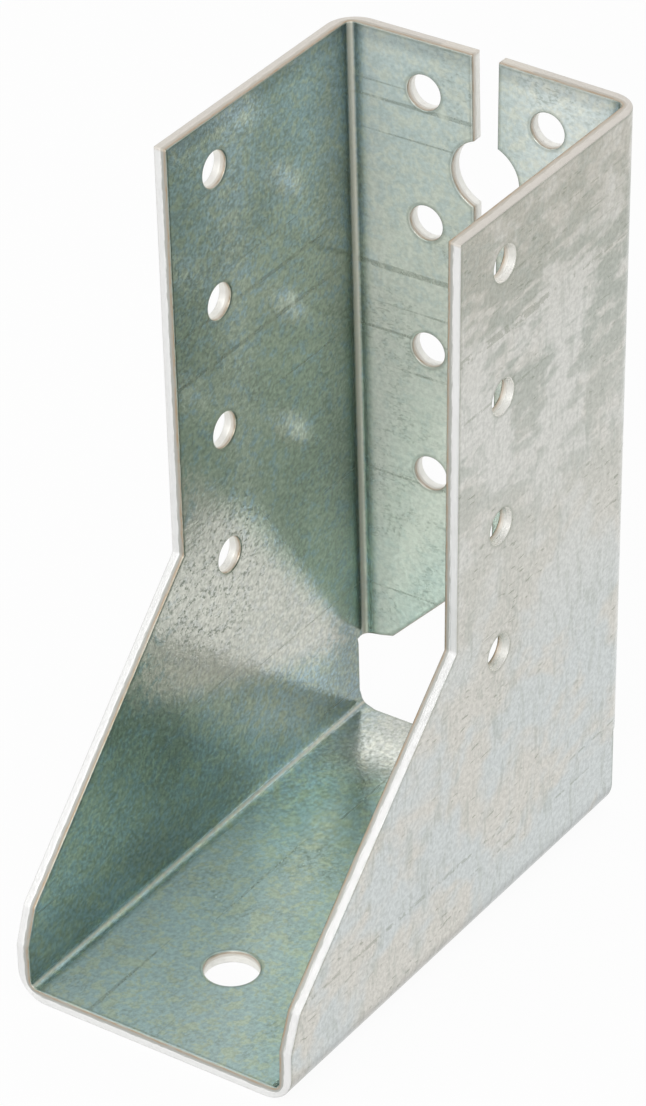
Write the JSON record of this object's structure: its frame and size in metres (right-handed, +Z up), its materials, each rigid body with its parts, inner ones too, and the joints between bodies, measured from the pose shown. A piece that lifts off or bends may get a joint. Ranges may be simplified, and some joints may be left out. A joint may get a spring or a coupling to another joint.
{
  "type": "joist hanger",
  "caption": "Joist hanger folded from one sheet of galvanised steel: a flat seat, tall sides with sloped fronts, and inward flanges with nail holes and a split bolt hole.",
  "frame": {"origin": "middle of the bounding box's underside, on the face that the seat stands on", "axes": "+Z up along the sides; +Y from the open front towards the header; +X across the seat, to the right seen from the front"},
  "size_m": [0.0474, 0.0834, 0.1122],
  "materials": {
    "galvanised_steel": "hot-dip galvanised, dull grey"
  },
  "bodies": {
    "root": {"hanger": "galvanised_steel"}
  },
  "joints": []
}
